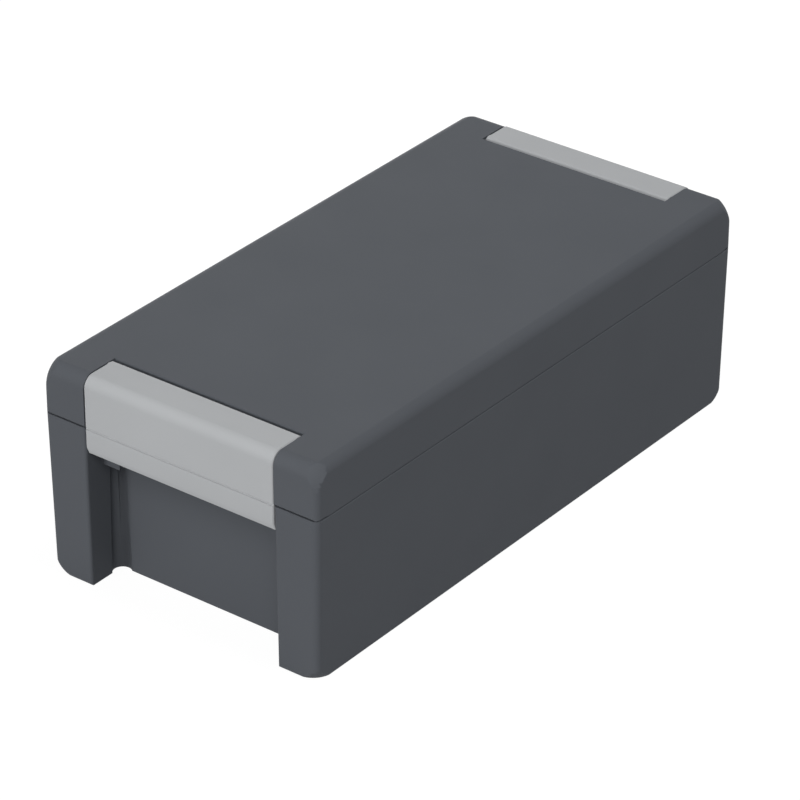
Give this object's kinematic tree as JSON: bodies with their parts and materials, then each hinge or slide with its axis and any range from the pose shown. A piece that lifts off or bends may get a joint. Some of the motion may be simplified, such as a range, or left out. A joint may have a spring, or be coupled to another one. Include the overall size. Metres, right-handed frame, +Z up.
{
  "type": "aluminium enclosure",
  "caption": "Die-cast aluminium equipment enclosure with a sealed lid that swing latches hold at both short ends and that hinges at either one.",
  "frame": {"origin": "centre of the base's underside", "axes": "+Z up, +Y along the length towards the hinged end, +X across the width"},
  "size_m": [0.114, 0.232, 0.08],
  "materials": {
    "casting": "satin powder coat",
    "latch_moulding": "fine matt moulding",
    "seal": "matt foam rubber",
    "rod_steel": "drawn stainless",
    "plated_steel": "bright zinc plate",
    "brass_screw": "nickel-free turned brass"
  },
  "bodies": {
    "base": {"base_shell": "casting", "front_catch_rod": "rod_steel", "rear_hinge_rod": "rod_steel", "earth_washer": "plated_steel", "earth_wire_clamp": "plated_steel", "earth_spring_washer": "plated_steel", "earth_screw": "brass_screw"},
    "lid": {"lid_shell": "casting", "lid_gasket": "seal", "front_latch_rod": "rod_steel", "rear_latch_rod": "rod_steel"},
    "front_latch": {"front_latch": "latch_moulding"},
    "rear_latch": {"rear_latch": "latch_moulding"}
  },
  "joints": [
    {"name": "lid_hinge", "type": "hinge", "parent": "base", "child": "lid", "pos_m": [0, 0.1129, 0.0525], "axis": [-1, 0, 0], "range_deg": [0, 100]},
    {"name": "rear_latch_swing", "type": "hinge", "parent": "lid", "child": "rear_latch", "pos_m": [0, 0.10335, 0.0776], "axis": [1, 0, 0], "range_deg": [0, 80]},
    {"name": "front_latch_swing", "type": "hinge", "parent": "lid", "child": "front_latch", "pos_m": [0, -0.10335, 0.0776], "axis": [-1, 0, 0], "range_deg": [0, 80]}
  ]
}
